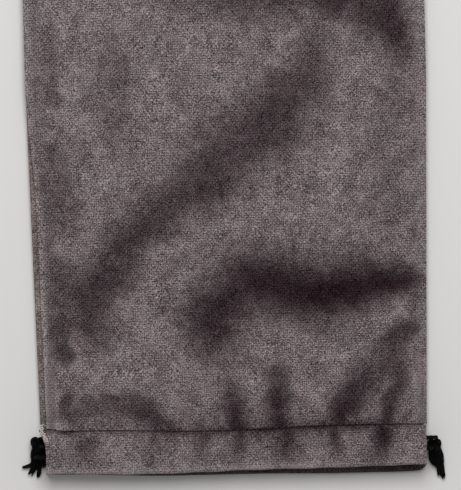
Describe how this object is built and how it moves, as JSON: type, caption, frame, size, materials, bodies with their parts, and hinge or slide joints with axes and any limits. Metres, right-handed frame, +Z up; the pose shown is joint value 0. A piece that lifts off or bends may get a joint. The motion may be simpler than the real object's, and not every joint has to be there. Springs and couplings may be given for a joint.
{
  "type": "drawstring gift sack",
  "caption": "Flat fabric sack with a sewn casing around its mouth and a drawcord knotted at each side that pulls to gather the mouth shut.",
  "frame": {"origin": "middle of the sack's underside, where the back panel lies on the table", "axes": "+Y from the mouth to the closed end, +X to the right in the picture, +Z up from the table through the front panel"},
  "size_m": [0.1998, 0.2884, 0.0154],
  "materials": {
    "front_cloth": "matt melange wool-like weave",
    "back_cloth": "matt melange wool-like weave",
    "front_hem": "matt melange wool-like weave",
    "back_hem": "matt melange wool-like weave",
    "seam_allowance": "matt melange wool-like weave",
    "grey_thread": "dull spun thread",
    "cream_thread": "dull spun thread",
    "black_cord": "soft twisted yarn with a low sheen"
  },
  "bodies": {
    "sack": {"front_panel": "front_cloth", "back_panel": "back_cloth", "front_casing": "front_hem", "back_casing": "back_hem", "left_seam_allowance": "seam_allowance", "right_seam_allowance": "seam_allowance", "bottom_seam_allowance": "seam_allowance", "front_casing_stitching": "grey_thread", "back_casing_stitching": "grey_thread", "left_seam_stitching": "grey_thread", "right_seam_stitching": "grey_thread", "bottom_seam_stitching": "grey_thread", "left_slit_overcast": "cream_thread", "right_slit_overcast": "cream_thread"},
    "left_cord": {"left_drawcord": "black_cord", "left_knot": "black_cord"},
    "right_cord": {"right_drawcord": "black_cord", "right_knot": "black_cord"},
    "left_tassel": {"left_tail_1": "black_cord", "left_tail_2": "black_cord", "left_tail_3": "black_cord", "left_tail_4": "black_cord"},
    "right_tassel": {"right_tail_1": "black_cord", "right_tail_2": "black_cord"}
  },
  "joints": [
    {"name": "left_cord_pull", "type": "slide", "parent": "sack", "child": "left_cord", "axis": [-1, 0, 0], "range_m": [0, 0.05], "deforming": ["front_casing", "back_casing"]},
    {"name": "right_cord_pull", "type": "slide", "parent": "sack", "child": "right_cord", "axis": [1, 0, 0], "range_m": [0, 0.05], "deforming": ["front_casing", "back_casing"]},
    {"name": "left_tassel_swing", "type": "hinge", "parent": "left_cord", "child": "left_tassel", "pos_m": [-0.0923, -0.1265, 0.003], "axis": [0, 0, 1], "range_deg": [-110, 0]},
    {"name": "right_tassel_swing", "type": "hinge", "parent": "right_cord", "child": "right_tassel", "pos_m": [0.0943, -0.1315, 0.003], "axis": [0, 0, 1], "range_deg": [0, 110]}
  ]
}
